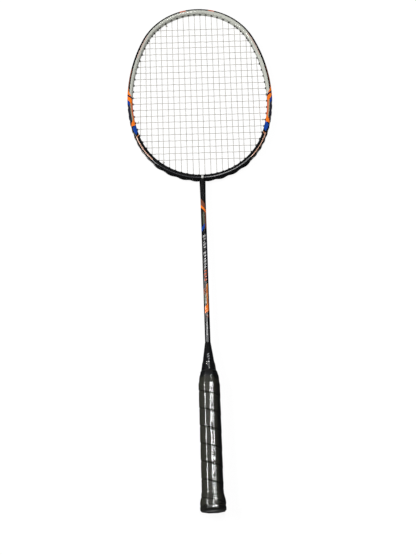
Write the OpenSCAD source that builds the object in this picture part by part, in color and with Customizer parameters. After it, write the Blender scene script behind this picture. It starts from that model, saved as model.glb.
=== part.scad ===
// Badminton racket, in millimetres.
// It lies flat: X across the head, Y along the axis from the butt to the crown, Z out of the string bed.
// The origin is the middle of the butt's end face.

/* [Overall] */
// Length from the butt to the crown
racket_l = 675; // [640:1:810]

/* [Head] */
// Outer width of the head
head_w = 190; // [170:1:230]
// Outer length of the head
head_l = 250; // [225:1:300]
// Height of the widest line above the head's lower end
belly_y = 114; // [100:1:135]
// Half angle of the crown arc
crown_deg = 64; // [58:1:66]
// Half angle of the base arc
base_deg = 69; // [63:1:71]
// Width of the frame tube, seen from the front
frame_w = 6.8; // [5.6:0.1:8.2]
// Depth of the frame tube, along Z
frame_d = 10; // [8.4:0.1:12]
// Corner radius of the frame tube
frame_r = 2.8; // [1.5:0.1:3]
// Wall of the frame tube
frame_wall = 1.2; // [0.9:0.1:1.4]
// Width of the string groove in the outer face
groove_w = 4; // [3.6:0.1:4.8]
// Depth of the string groove
groove_depth = 1.5; // [1.3:0.1:1.8]

/* [Strings] */
// String diameter
string_d = 0.7; // [0.58:0.01:0.84]
// Distance from the head's outer side to the outermost main string
main_edge = 15.2; // [12.5:0.1:18.5]
// Distance from the crown's outer face to the first cross string
cross_start = 29.5; // [25:0.1:35]
// Distance from the head's lower end to the last cross string
cross_end = 29.4; // [25:0.1:35]

/* [Grommets] */
// Outer diameter of a grommet's barrel
barrel_d = 2.6; // [2.4:0.1:3]
// Bore of a grommet
bore_d = 1.9; // [1.8:0.05:2.1]
// How far a barrel stands out of the frame's inner face
tip_out = 1.2; // [1:0.1:1.5]
// Diameter of the flange in the groove
flange_d = 3.4; // [3.1:0.1:3.5]
// Thickness of the flange
flange_t = 0.5; // [0.3:0.1:0.6]

/* [Shaft and throat] */
// Outer diameter of the shaft
shaft_d = 6.8; // [6:0.1:8]
// Wall of the shaft
shaft_wall = 1.2; // [0.9:0.1:1.6]
// Length of the shaft inside the handle
shaft_seat = 92; // [70:1:105]
// Length of the throat neck under the frame
neck_l = 26; // [21:1:32]
// How far the neck is wider than the shaft where it meets the frame
neck_flare = 1.2; // [0.6:0.1:1.8]

/* [Handle] */
// Length of the handle, with the cone
handle_l = 207; // [190:1:230]
// Visible length of the cone above the grip
cone_l = 37; // [28:1:45]
// Width of the grip across its flats
grip_w = 25.4; // [23:0.1:29]
// Thickness of the grip wrap
grip_t = 1.4; // [1.1:0.1:1.8]
// Width of the butt across its flats
butt_w = 31.2; // [29:0.1:36]
// Length of the grip's taper under the cone
shoulder_l = 22; // [16:1:26]
// Height of the butt's flare
flare_l = 24; // [20:1:30]
// Height of the bare rim of the butt cap
rim_l = 6; // [4:0.5:8]
// Diameter of the badge in the butt's end
badge_d = 17; // [12:0.5:20]

/* [Hidden] */

$fn = 64;
mains = 11;             // main strings on each side of the axis
crosses = 22;           // cross strings
fit = 0.05;             // clearance of a piece in its hole, on the radius
eps = 0.01;             // overcut of a hole past its face

// The head's outline: four arcs a side, tangent where they meet, each [centre x, centre y, radius, from, to].
// Angles are headings, clockwise from +Y.
head_y = racket_l - head_l;
function two_radii(part_h, deg) =
    // The arc on the axis and the arc at the side that span half the width and part_h
    let (s = sin(deg), c = cos(deg), det = s * c - (1 - s) * (1 - c))
    [(head_w / 2 * c - (1 - s) * part_h) / det, (s * part_h - (1 - c) * head_w / 2) / det];
crown_r = two_radii(head_l - belly_y, crown_deg);
base_r = two_radii(belly_y, base_deg);
ARCS = [
    [0, racket_l - crown_r[0], crown_r[0], 0, crown_deg],
    [head_w / 2 - crown_r[1], head_y + belly_y, crown_r[1], crown_deg, 90],
    [head_w / 2 - base_r[1], head_y + belly_y, base_r[1], 90, 180 - base_deg],
    [0, head_y + base_r[0], base_r[0], 180 - base_deg, 180],
];

// A point at a heading, a given depth inside the outer face
function arc_at(h) = [for (a = ARCS) if (h >= a[3] && h <= a[4]) a][0];
function spot(h, depth) =
    let (a = arc_at(h)) [a[0] + (a[2] - depth) * sin(h), a[1] + (a[2] - depth) * cos(h)];

mouth_depth = frame_w + tip_out;                             // where a grommet's tip ends
seat_depth = groove_depth - flange_t - string_d / 2 - fit;   // the string's line in the groove
string_z = string_d / 2 + eps;                               // mains above the bed's plane, crosses below

// Headings where the grommets' tips meet the strings' lines
function heading_x_top(x) =
    [for (a = [ARCS[0], ARCS[1]]) let (h = asin((x - a[0]) / (a[2] - mouth_depth)))
        if (h >= a[3] && h <= a[4]) h][0];
function heading_x_low(x) =
    [for (a = [ARCS[3], ARCS[2]]) let (h = 180 - asin((x - a[0]) / (a[2] - mouth_depth)))
        if (h >= a[3] && h <= a[4]) h][0];
function heading_y(y) =
    [for (a = ARCS) let (c = (y - a[1]) / (a[2] - mouth_depth), h = abs(c) > 1 ? -1 : acos(c))
        if (h >= a[3] && h <= a[4]) h][0];

main_pitch = (head_w / 2 - main_edge) / (mains - 0.5);
cross_pitch = (head_l - cross_start - cross_end) / (crosses - 1);
function main_x(i) = main_pitch * (i - 0.5);
function cross_y(j) = racket_l - cross_start - cross_pitch * (j - 1);
// Where main and cross holes alternate at the shoulders, each keeps clear of the one before it
hole_gap = flange_d + 0.8;
function spaced(h, i = 0, last = -90) =
    i == len(h) ? [] : let (own = max(h[i], last + hole_gap / (crown_r[0] - groove_depth) * 180 / PI))
        concat([own], spaced(h, i + 1, own));
MIXED = spaced([for (k = [0:2]) each [heading_x_top(main_x(7 + k)), heading_y(cross_y(1 + k))]]);
X_H = [for (j = [1:crosses]) j <= 3 ? MIXED[2 * j - 1] : heading_y(cross_y(j))];
function main_top(i) = i >= 7 && i <= 9 ? MIXED[2 * (i - 7)] : heading_x_top(main_x(i));
// The outer mains share a cross string's hole: at the crown mains 10 and 11, at the base mains 8 to 11
TOP_SHARE = [[10, 4], [11, 6]];
LOW_SHARE = [[8, 22], [9, 21], [10, 20], [11, 18]];
function shared(i, list) = [for (s = list) if (s[0] == i) s[1]];
function main_h(i, list, own) = let (s = shared(i, list)) len(s) > 0 ? X_H[s[0] - 1] : own;
M_TOP = [for (i = [1:mains]) main_h(i, TOP_SHARE, main_top(i))];
M_LOW = [for (i = [1:mains]) main_h(i, LOW_SHARE, heading_x_low(main_x(i)))];

// The two holes beside the neck run outwards, so that their strings clear it
splay = 24;
function bore_heading(h) = h == M_LOW[0] ? h - splay : h;
function bore_end(h, depth) =
    let (d = bore_heading(h), l = (mouth_depth - depth) / cos(h - d)) spot(h, mouth_depth) + l * [sin(d), cos(d)];
function exit(h) = bore_end(h, seat_depth);
function mouth(h) = spot(h, mouth_depth);
bend_out = 0.4;  // a string bends this far outside its grommet
function bend(h) = mouth(h) - bend_out * [sin(bore_heading(h)), cos(bore_heading(h))];

// ---- strings ----

arc_step = 4;    // degrees between the points of a loop in the groove
function loop(from, to) =
    let (n = ceil(abs(to - from) / arc_step)) [for (k = [1:1:n - 1]) spot(from + (to - from) * k / n, seat_depth)];
function mirrored(path) = [for (i = [len(path) - 1:-1:0]) [-path[i][0], path[i][1]]];

knot_gap = 0.6;  // from a string's bend to the knot
knot_l = 2.6;
knot_d = 2.2;
// The mains' tails are tied to cross 16, and the crosses' two tails to mains 6 and 7
main_tail_h = X_H[15];
cross_tail_top_h = M_TOP[5];
cross_tail_low_h = M_LOW[6];

function main_run(i) =
    let (top = [exit(M_TOP[i - 1]), bend(M_TOP[i - 1])], low = [bend(M_LOW[i - 1]), exit(M_LOW[i - 1])])
    i % 2 == 1 ? concat(top, low) : [low[1], low[0], top[1], top[0]];
function main_loop(i) =
    i == mains ? concat(loop(M_LOW[i - 1], main_tail_h),
                        [exit(main_tail_h), bend(main_tail_h), bend(main_tail_h) - [knot_gap, 0]])
    : i % 2 == 1 ? loop(M_LOW[i - 1], M_LOW[i]) : loop(M_TOP[i - 1], M_TOP[i]);
main_half = concat([[0, racket_l - seat_depth]], [for (i = [1:mains]) each concat(main_run(i), main_loop(i))]);
main_path = concat(mirrored(main_half), [for (i = [1:len(main_half) - 1]) main_half[i]]);

function flip(p, side) = [side * p[0], p[1]];
function cross_run(j) =
    let (h = X_H[j - 1], s = j % 2 == 1 ? -1 : 1)
    [flip(exit(h), s), flip(bend(h), s), flip(bend(h), -s), flip(exit(h), -s)];
function cross_loop(j) =
    j == crosses ? [] : [for (p = loop(X_H[j - 1], X_H[j])) flip(p, j % 2 == 1 ? 1 : -1)];
cross_path = concat(
    [for (p = [bend(cross_tail_top_h) - [0, knot_gap], bend(cross_tail_top_h), exit(cross_tail_top_h)]) flip(p, -1)],
    [for (p = loop(cross_tail_top_h, X_H[0])) flip(p, -1)],
    [for (j = [1:crosses]) each concat(cross_run(j), cross_loop(j))],
    [for (p = loop(X_H[crosses - 1], cross_tail_low_h)) flip(p, -1)],
    [for (p = [exit(cross_tail_low_h), bend(cross_tail_low_h), bend(cross_tail_low_h) + [0, knot_gap]]) flip(p, -1)]);

function unit(v) = v / norm(v);
function left_of(v) = [-v[1], v[0]];
function mitre(path, i) =
    // The direction of the joint between two straight runs, as long as the joint needs
    let (last = len(path) - 1,
         before = left_of(unit(path[max(i, 1)] - path[max(i, 1) - 1])),
         after = left_of(unit(path[min(i, last - 1) + 1] - path[min(i, last - 1)])),
         m = unit(before + after))
    m / (m * after);
module string_tube(path, z) {
    sides = 8;
    r = string_d / 2 * sqrt(2 * PI / (sides * sin(360 / sides)));    // keeps the string's round area
    n = len(path);
    points = [for (i = [0:n - 1]) let (m = mitre(path, i)) for (k = [0:sides - 1]) let (a = 360 / sides * (k + 0.5))
        [each (path[i] + m * cos(a) * r), z + sin(a) * r]];
    walls = [for (i = [0:n - 2]) for (k = [0:sides - 1]) let (k2 = (k + 1) % sides, a = i * sides)
        [a + k, a + k2, a + sides + k2, a + sides + k]];
    ends = [[for (k = [sides - 1:-1:0]) k], [for (k = [0:sides - 1]) (n - 1) * sides + k]];
    polyhedron(points, concat(walls, ends));
}

module main_string() color("gainsboro") string_tube(main_path, string_z);
module cross_string() color("gainsboro") string_tube(cross_path, -string_z);

// A knot is a short sleeve round the string that holds it; along = the string's heading
module knot(p, along, z) {
    translate([p[0], p[1], 0]) rotate([0, 0, -along]) rotate([-90, 0, 0]) difference() {
        translate([0, 0, fit]) cylinder(d = knot_d, h = knot_l);
        translate([0, -z, -eps]) cylinder(d = string_d + 2 * fit, h = knot_l + 1);
    }
}
module string_knots() color("gainsboro") {
    for (s = [-1, 1])
        knot(flip(bend(main_tail_h) - [knot_gap, 0], s), -90 * s, -string_z);
    knot(flip(bend(cross_tail_top_h) - [0, knot_gap], -1), 180, string_z);
    knot(flip(bend(cross_tail_low_h) + [0, knot_gap], -1), 0, string_z);
}

// ---- head frame ----

// The tube's section: X is the distance from the outer face, inwards; Y is the racket's Z.
// proud = how far every face stands out of its place
module frame_outer(proud = 0) {
    translate([frame_r, -frame_d / 2 - proud]) square([frame_w - 2 * frame_r, frame_d + 2 * proud]);
    translate([-proud, -frame_d / 2 + frame_r]) square([frame_w + 2 * proud, frame_d - 2 * frame_r]);
    for (x = [frame_r, frame_w - frame_r]) for (y = [-1, 1])
        translate([x, y * (frame_d / 2 - frame_r)]) circle(frame_r + proud);
}
cavity_from = groove_depth + frame_wall;          // the cavity starts behind the groove's floor
cavity_corner = 0.45 * frame_r;                   // the cavity's corners follow the outer rounding
module frame_cavity(proud) {
    x0 = cavity_from + proud;
    x1 = frame_w - frame_wall - proud;
    y1 = frame_d / 2 - frame_wall - proud;
    c = cavity_corner;
    polygon([[x0, y1 - c], [x0 + c, y1], [x1 - c, y1], [x1, y1 - c], [x1, c - y1], [x1 - c, -y1], [x0 + c, -y1], [x0, c - y1]]);
}
module frame_section(proud = 0) {
    difference() {
        frame_outer(proud);
        frame_cavity(proud);
        translate([-1, proud - groove_w / 2]) square([1 + groove_depth - proud, groove_w - 2 * proud]);
    }
}
// Its child is swept along one arc, from a heading to a heading
module along_arc(a, from, to) {
    translate([a[0], a[1], 0]) rotate([0, 0, 90 - to]) rotate_extrude(angle = to - from, $fn = 180)
        translate([a[2], 0]) mirror([1, 0]) children();
}
// The arcs stop short of each other by a hair, and a thin band laid over each meeting joins them
seam = 0.003;
band_l = 1;
band_proud = 0.01;
module arc_piece(a) {
    cut = seam / a[2] * 180 / PI;
    along_arc(a, a[3] == 0 ? -a[4] + cut : a[3] + cut, a[4] == 180 ? 360 - a[3] - cut : a[4] - cut) frame_section();
}
module band(h) {
    p = spot(h, 0);
    translate([p[0], p[1], 0]) rotate([0, 0, -h]) rotate([90, 0, -90])
        translate([0, 0, -band_l / 2]) linear_extrude(height = band_l) frame_section(band_proud);
}
module frame_ring() {
    arc_piece(ARCS[0]);
    arc_piece(ARCS[3]);
    for (side = [0, 1]) mirror([side, 0, 0]) {
        arc_piece(ARCS[1]);
        arc_piece(ARCS[2]);
        for (h = [crown_deg, 90, 180 - base_deg]) band(h);
    }
}
// Its child stands at a grommet's tip, with +Z along the bore and out of the frame
module at_bore(h) {
    p = mouth(h);
    translate([p[0], p[1], 0]) rotate([0, 0, -bore_heading(h)]) rotate([-90, 0, 0]) children();
}
RIGHT_BORES = concat([for (h = M_TOP) h], [for (i = [1:7]) M_LOW[i - 1]],
    [for (j = [1:crosses]) if (len([for (s = TOP_SHARE) if (s[1] == j) j]) == 0) X_H[j - 1]]);
spigot_d = 3.2;                                   // the T-joint's peg in the frame
module head_frame() color("silver") difference() {
    frame_ring();
    for (side = [0, 1]) mirror([side, 0, 0]) for (h = RIGHT_BORES)
        at_bore(h) cylinder(d = barrel_d + 2 * fit, h = 2 * frame_w, $fn = 32);
    translate([0, head_y - eps, 0]) rotate([-90, 0, 0])
        cylinder(d = spigot_d + 2 * fit, h = frame_w - frame_wall);
}

// ---- grommets ----

module grommet(h) {
    lean = h - bore_heading(h);
    barrel_l = (mouth_depth - groove_depth) / cos(lean) - barrel_d / 2 * tan(lean);
    color("black") at_bore(h) difference() {
        union() {
            cylinder(d = barrel_d, h = barrel_l + (lean == 0 ? flange_t : 0), $fn = 32);
            if (lean == 0) translate([0, 0, barrel_l]) cylinder(d = flange_d, h = flange_t, $fn = 32);
        }
        translate([0, 0, -eps]) cylinder(d = bore_d, h = 2 * mouth_depth, $fn = 32);
    }
}
module grommets(headings, side) {
    mirror([side < 0 ? 1 : 0, 0, 0]) for (h = headings) grommet(h);
}
SHOULDER_H = concat([for (j = [1:6]) X_H[j - 1]], [M_TOP[7], M_TOP[8]]);
SIDE_H = [for (j = [7:17]) X_H[j - 1]];
BASE_H = concat([for (j = [18:22]) X_H[j - 1]], [for (i = [2:7]) M_LOW[i - 1]]);
module grommets_crown() for (s = [-1, 1]) grommets([for (i = [1:7]) M_TOP[i - 1]], s);
module grommets_throat() for (s = [-1, 1]) grommets([M_LOW[0]], s);

// ---- throat and shaft ----

neck_y = head_y - neck_l;                         // the neck's lower end and the shaft's top
neck_r = shaft_d / 2 + neck_flare / 2;
peg_l = 30;                                       // the T-joint's peg in the shaft
module turned(points) rotate([-90, 0, 0]) rotate_extrude() polygon(points);

module t_joint() color("black") {
    difference() {
        turned([[0, neck_y], [shaft_d / 2, neck_y], [neck_r, head_y + groove_depth], [0, head_y + groove_depth]]);
        along_arc(ARCS[3], 170, 190) frame_outer(skin);
    }
    translate([0, neck_y - peg_l, 0]) rotate([-90, 0, 0]) cylinder(d = shaft_d - 2 * shaft_wall - 2 * fit, h = peg_l + 1);
    translate([0, head_y - 2, 0]) rotate([-90, 0, 0]) cylinder(d = spigot_d, h = 2 + frame_w - frame_wall - fit - eps);
}

shaft_y = handle_l - shaft_seat;                  // the shaft's lower end
module shaft() color("black") translate([0, shaft_y, 0]) rotate([-90, 0, 0]) difference() {
    cylinder(d = shaft_d, h = neck_y - shaft_y);
    translate([0, 0, -eps]) cylinder(d = shaft_d - 2 * shaft_wall, h = neck_y - shaft_y + 1);
}

// ---- handle ----

// Eight-sided bodies round the axis; a profile is a list of [half width across the flats, y]
function rings(profile) = [for (p = profile) for (k = [0:7])
    let (a = 45 * k + 22.5, r = p[0] / cos(22.5)) [r * cos(a), p[1], r * sin(a)]];
function band_faces(n, from, to) = [for (i = [from:to]) for (k = [0:7])
    let (k2 = (k + 1) % 8, a = 8 * i, b = 8 * ((i + 1) % n)) [a + k, a + k2, b + k2, b + k]];
module eight_sided(profile) {
    n = len(profile);
    ends = [[for (k = [7:-1:0]) k], [for (k = [0:7]) 8 * (n - 1) + k]];
    polyhedron(rings(profile), concat(band_faces(n, 0, n - 2), ends));
}
// A sleeve: the outside from low to high, and the inside from low to high
module eight_sided_sleeve(outside, inside) {
    profile = concat(outside, [for (i = [len(inside) - 1:-1:0]) inside[i]]);
    polyhedron(rings(profile), band_faces(len(profile), 0, len(profile) - 1));
}

grip_top = handle_l - cone_l;                     // where the grip ends and the bare cone starts
grip_shoulder = grip_top - shoulder_l;            // where the grip's taper starts
skin = 0.02;                                      // gap between bonded layers
core_r = grip_w / 2 - grip_t - skin;              // half width of the wood
cone_wall = 1.1;
cone_lip = 0.25;                                  // thickness of the cone's top edge round the shaft
cone_low_r = grip_w * 0.352;                      // the cone's radius where the grip ends
cone_top_r = shaft_d / 2 + cone_lip;
skirt_l = shoulder_l / 2;                         // how far the cone goes under the grip
skirt_y = grip_top - skirt_l;
plug_l = 8;                                       // the cone's solid top, round the shaft
function cone_r(y) = cone_top_r + (cone_low_r - cone_top_r) * (handle_l - y) / cone_l;

// The wood's nose fills the cone up to here
nose_y = grip_top + 4;
module handle_core() color("burlywood") difference() {
    union() {
        eight_sided([[core_r, cap_floor + skin], [core_r, skirt_y - skin]]);
        turned([[0, skirt_y - 1], [cone_r(skirt_y) - cone_wall - skin, skirt_y - 1],
            [cone_r(skirt_y) - cone_wall - skin, skirt_y], [cone_r(nose_y) - cone_wall - skin, nose_y], [0, nose_y]]);
    }
    translate([0, shaft_y - skin, 0]) rotate([-90, 0, 0]) cylinder(d = shaft_d + 2 * fit, h = handle_l);
    for (s = [-1, 1]) translate([s * tack_x, 0, 0]) rotate([-90, 0, 0])
        cylinder(d = tack_d + skin, h = badge_t + tack_l + 2 * skin, $fn = 24);
}

module cone_cap() color("black") difference() {
    turned([[0, skirt_y], [cone_r(skirt_y), skirt_y], [cone_top_r, handle_l], [0, handle_l]]);
    turned([[0, skirt_y - eps], [cone_r(skirt_y) - cone_wall, skirt_y - eps],
        [cone_r(handle_l - plug_l) - cone_wall, handle_l - plug_l], [0, handle_l - plug_l]]);
    translate([0, skirt_y, 0]) rotate([-90, 0, 0]) cylinder(d = shaft_d + 2 * fit, h = handle_l - skirt_y + 1);
}

cap_floor = 4;                                    // thickness of the cap under the wood
badge_t = 1;
tack_x = 5;
tack_d = 1.2;
tack_l = 14;
tack_head_d = 3;
tack_head_t = 0.8;
cap_skirt_r = butt_w / 2 - grip_t - skin;         // half width of the cap under the wrap
cap_edge = 0.5;                                   // thickness of the cap's upper edge
module butt_cap() color("dimgray") difference() {
    eight_sided([[butt_w / 2 - 1, 0], [butt_w / 2, 1], [butt_w / 2, rim_l], [cap_skirt_r, rim_l],
        [cap_skirt_r, flare_l * 0.45], [core_r + cap_edge, flare_l]]);
    eight_sided([[core_r + skin, cap_floor], [core_r + skin, flare_l + 1]]);
    translate([0, -eps, 0]) rotate([-90, 0, 0]) cylinder(d = badge_d + 2 * fit, h = badge_t + tack_head_t);
    for (s = [-1, 1]) translate([s * tack_x, 0, 0]) rotate([-90, 0, 0]) cylinder(d = tack_d + skin, h = cap_floor + 1, $fn = 24);
}
module butt_badge() color("silver") rotate([-90, 0, 0]) cylinder(d = badge_d, h = badge_t);
module butt_tacks() color("gray") for (s = [-1, 1]) translate([s * tack_x, badge_t + skin, 0]) rotate([-90, 0, 0]) {
    cylinder(d = tack_head_d, h = tack_head_t - 2 * skin, $fn = 24);
    cylinder(d = tack_d, h = tack_l, $fn = 24);
}

// The wrap's outside, from the butt's rim to the cone; its shoulder is rounded over the cone's skirt
tape_l = 8;                                       // length of the finishing tape
tape_t = 0.25;
end_r = cone_low_r + 0.9;                         // half width of the wrap where it ends on the cone
SHOULDER = [[grip_w / 2, grip_shoulder], [grip_w * 0.482, grip_shoulder + shoulder_l * 0.32],
    [grip_w * 0.436, grip_shoulder + shoulder_l * 0.67], [end_r, grip_top]];
function shoulder_r(y) = lookup(y, [for (p = SHOULDER) [p[1], p[0]]]);
module base_grip() color("#2a2a28") eight_sided_sleeve(
    concat([[butt_w / 2, rim_l + skin], [butt_w / 2, flare_l * 0.45], [grip_w / 2, flare_l]], SHOULDER),
    [[cap_skirt_r + skin, rim_l + skin], [cap_skirt_r + skin, flare_l * 0.45], [core_r + cap_edge + skin, flare_l],
        [core_r + skin, flare_l + 1], [core_r + skin, skirt_y], [cone_r(skirt_y) + skin, skirt_y + 0.4],
        [cone_r(grip_top) + skin, grip_top]]);

tape_y = grip_top - tape_l;
function tape_shape(out) = [[shoulder_r(tape_y) + out, tape_y],
    for (p = SHOULDER) if (p[1] > tape_y && p[1] < grip_top) [p[0] + out, p[1]], [end_r + out, grip_top]];
module finishing_tape() color("black") eight_sided_sleeve(tape_shape(tape_t + skin), tape_shape(skin));

film_t = 0.12;
film_gap = 0.06;
film_over = 12;                                   // how far the film goes up the cone
film_y = flare_l + 2;
film_top = grip_top + film_over;
function film_shape(out) = [[grip_w / 2 + out, film_y], [SHOULDER[0][0] + out, SHOULDER[0][1]],
    [SHOULDER[1][0] + tape_t + out, SHOULDER[1][1]], [SHOULDER[2][0] + tape_t + out, SHOULDER[2][1]],
    [end_r + tape_t + out, grip_top + 0.2], [cone_r(grip_top + 3) + out, grip_top + 3], [cone_r(film_top) + out, film_top]];
module grip_film() color([0.9, 0.92, 0.95, 0.3])
    eight_sided_sleeve(film_shape(film_gap + film_t), film_shape(film_gap));

head_frame();
t_joint();
shaft();
cone_cap();
handle_core();
butt_cap();
butt_badge();
butt_tacks();
base_grip();
finishing_tape();
grip_film();
main_string();
cross_string();
string_knots();
grommets_crown();
grommets(SHOULDER_H, -1);  // grommets_shoulder_left
grommets(SHOULDER_H, 1);  // grommets_shoulder_right
grommets(SIDE_H, -1);  // grommets_side_left
grommets(SIDE_H, 1);  // grommets_side_right
grommets(BASE_H, -1);  // grommets_base_left
grommets(BASE_H, 1);  // grommets_base_right
grommets_throat();
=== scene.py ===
"""A strung badminton racket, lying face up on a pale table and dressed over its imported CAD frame."""

import logging
import math
from collections.abc import Callable, Iterable
from dataclasses import dataclass, field
from enum import Enum

import bmesh
import bpy
from mathutils import Matrix, Vector, noise


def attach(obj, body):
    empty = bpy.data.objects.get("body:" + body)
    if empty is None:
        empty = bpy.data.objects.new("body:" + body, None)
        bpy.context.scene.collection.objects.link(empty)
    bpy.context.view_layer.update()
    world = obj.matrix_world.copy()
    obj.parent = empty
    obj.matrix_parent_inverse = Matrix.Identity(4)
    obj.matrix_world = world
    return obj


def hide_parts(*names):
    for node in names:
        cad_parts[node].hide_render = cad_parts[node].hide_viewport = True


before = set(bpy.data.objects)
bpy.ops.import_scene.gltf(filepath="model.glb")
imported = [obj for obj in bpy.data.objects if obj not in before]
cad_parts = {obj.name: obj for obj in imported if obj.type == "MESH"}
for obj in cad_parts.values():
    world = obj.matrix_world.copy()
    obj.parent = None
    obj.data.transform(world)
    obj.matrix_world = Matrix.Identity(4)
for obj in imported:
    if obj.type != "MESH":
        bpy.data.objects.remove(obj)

MM = 0.001
LOG = logging.getLogger("racket")
Point = tuple[float, float]
Place = tuple[float, float, float]
Path = list[Place]
Colour = tuple[float, float, float, float]
Tree = bpy.types.NodeTree
Node = bpy.types.Node
Socket = bpy.types.NodeSocket
Material = bpy.types.Material
Object = bpy.types.Object
Mesh = bmesh.types.BMesh
Inputs = dict[str | int, object]


# ---- small tools ----


def linear(code: str) -> Colour:
    """Turns an sRGB hex colour, "#rrggbb", into opaque linear light.

    Args:
        code: The colour.

    Returns:
        Red, green, blue and an alpha of 1.
    """
    parts = [int(code[i : i + 2], 16) / 255 for i in (1, 3, 5)]
    r, g, b = (c / 12.92 if c <= 0.04045 else ((c + 0.055) / 1.055) ** 2.4 for c in parts)
    return r, g, b, 1.0


def add(tree: Tree, kind: str, inputs: Inputs | None = None, **settings: object) -> Node:
    """Adds a node with its settings, and its inputs as values or links.

    Args:
        tree: The node tree that takes it.
        kind: The node's type name.
        inputs: Socket name or number to a value, or to the output socket that feeds it.
        **settings: The node's own properties.

    Returns:
        The new node.
    """
    node = tree.nodes.new(kind)
    for name, value in settings.items():
        setattr(node, name, value)
    for key, value in (inputs or {}).items():
        if isinstance(value, Socket):
            tree.links.new(value, node.inputs[key])
        else:
            node.inputs[key].default_value = value
    return node


def finished(name: str, bm: Mesh, smooth: bool = True, material: Material | None = None) -> Object:
    """Turns a bmesh into an object at the origin.

    Args:
        name: The piece's name.
        bm: The mesh in metres, in the racket's frame; it is freed.
        smooth: Whether its faces are smooth-shaded.
        material: What it is made of.

    Returns:
        The new object.
    """
    mesh = bpy.data.meshes.new(name)
    for face in bm.faces:
        face.smooth = smooth
    bm.to_mesh(mesh)
    bm.free()
    piece = bpy.data.objects.new(name, mesh)
    bpy.context.scene.collection.objects.link(piece)
    if material is not None:
        mesh.materials.append(material)
    return piece


def seat(piece: Object, slot: str, *nodes: str) -> Object:
    """Puts a piece on the racket's one body.

    Args:
        piece: The finished piece.
        slot: The record's material slot that it stands for; not used.
        *nodes: The CAD nodes that it replaces.

    Returns:
        The same piece.
    """
    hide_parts(*nodes)
    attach(piece, "root")
    LOG.info("%s: %d faces", piece.name, len(piece.data.polygons))
    return piece


def eased(x: float) -> float:
    """A smooth step from 0 to 1 over the same range."""
    x = min(max(x, 0.0), 1.0)
    return x * x * (3 - 2 * x)


def lifted(points: Iterable[Point], z: float, side: int = 1) -> Path:
    """Points on one side of the axis, set at a height."""
    return [(side * x, y, z) for x, y in points]


def read_off(table: list[Point], at: float) -> float:
    """Reads a value between the rows of a (position, value) table."""
    if at <= table[0][0]:
        return table[0][1]
    for (a, va), (b, vb) in zip(table, table[1:]):
        if at <= b:
            return va + (vb - va) * (at - a) / (b - a)
    return table[-1][1]


# ---- the head's outline ----


@dataclass(frozen=True)
class Arc:
    """One arc of the head's outline, in millimetres; headings run clockwise from +Y."""

    x: float
    y: float
    r: float
    start: float
    end: float


@dataclass(frozen=True)
class Outline:
    """The egg-shaped outer face of the head: four tangent arcs a side, in millimetres."""

    width: float = 190.0
    length: float = 250.0
    belly: float = 114.0
    crown_deg: float = 64.0
    base_deg: float = 69.0
    crown_y: float = 675.0

    def radii(self, height: float, degrees: float) -> Point:
        """The arc on the axis and the arc at the side that span half the width and a height."""
        s, c = math.sin(math.radians(degrees)), math.cos(math.radians(degrees))
        det = s * c - (1 - s) * (1 - c)
        half = self.width / 2
        return (half * c - (1 - s) * height) / det, (s * height - (1 - c) * half) / det

    def arcs(self) -> list[Arc]:
        """The right side's four arcs, from the crown to the base."""
        low = self.crown_y - self.length
        crown, upper = self.radii(self.length - self.belly, self.crown_deg)
        base, lower = self.radii(self.belly, self.base_deg)
        half, turn = self.width / 2, 180 - self.base_deg
        return [
            Arc(0, self.crown_y - crown, crown, 0, self.crown_deg),
            Arc(half - upper, low + self.belly, upper, self.crown_deg, 90),
            Arc(half - lower, low + self.belly, lower, 90, turn),
            Arc(0, low + base, base, turn, 180),
        ]

    def spot(self, heading: float, depth: float) -> Point:
        """A point at a heading, a depth inside the outer face."""
        arc = next(a for a in self.arcs() if a.start <= heading <= a.end)
        h = math.radians(heading)
        return arc.x + (arc.r - depth) * math.sin(h), arc.y + (arc.r - depth) * math.cos(h)

    def run_and_depth(self, x: float, y: float) -> Point:
        """How far round from the crown a point lies, along the outer face, and how deep inside it."""
        run, best = 0.0, (0.0, 0.0)
        x = abs(x)
        for arc in self.arcs():
            heading = math.degrees(math.atan2(x - arc.x, y - arc.y)) % 360
            held = min(max(heading, arc.start), arc.end)
            best = (run + math.radians(held - arc.start) * arc.r, arc.r - math.hypot(x - arc.x, y - arc.y))
            if heading <= arc.end + 1e-6:
                return best
            run += math.radians(arc.end - arc.start) * arc.r
        return best

    def heading_at(
        self, depth: float, x: float | None = None, y: float | None = None, low: bool = False
    ) -> float:
        """The heading where the outline at a depth meets a line of constant x or y.

        Args:
            depth: How far inside the outer face.
            x: The line's x, or None.
            y: The line's y, used when x is None.
            low: Whether an x line is met on the lower half.

        Returns:
            The heading in degrees.
        """
        arcs = self.arcs()
        for arc in arcs if x is None else arcs[2:] if low else arcs[:2]:
            ratio = ((y if x is None else x) - (arc.y if x is None else arc.x)) / (arc.r - depth)
            if abs(ratio) > 1:
                continue
            heading = math.degrees(math.acos(ratio) if x is None else math.asin(ratio))
            heading = 180 - heading if low and x is not None else heading
            if arc.start <= heading <= arc.end:
                return heading
        raise ValueError("the line misses the outline")


# ---- stringing ----


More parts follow.
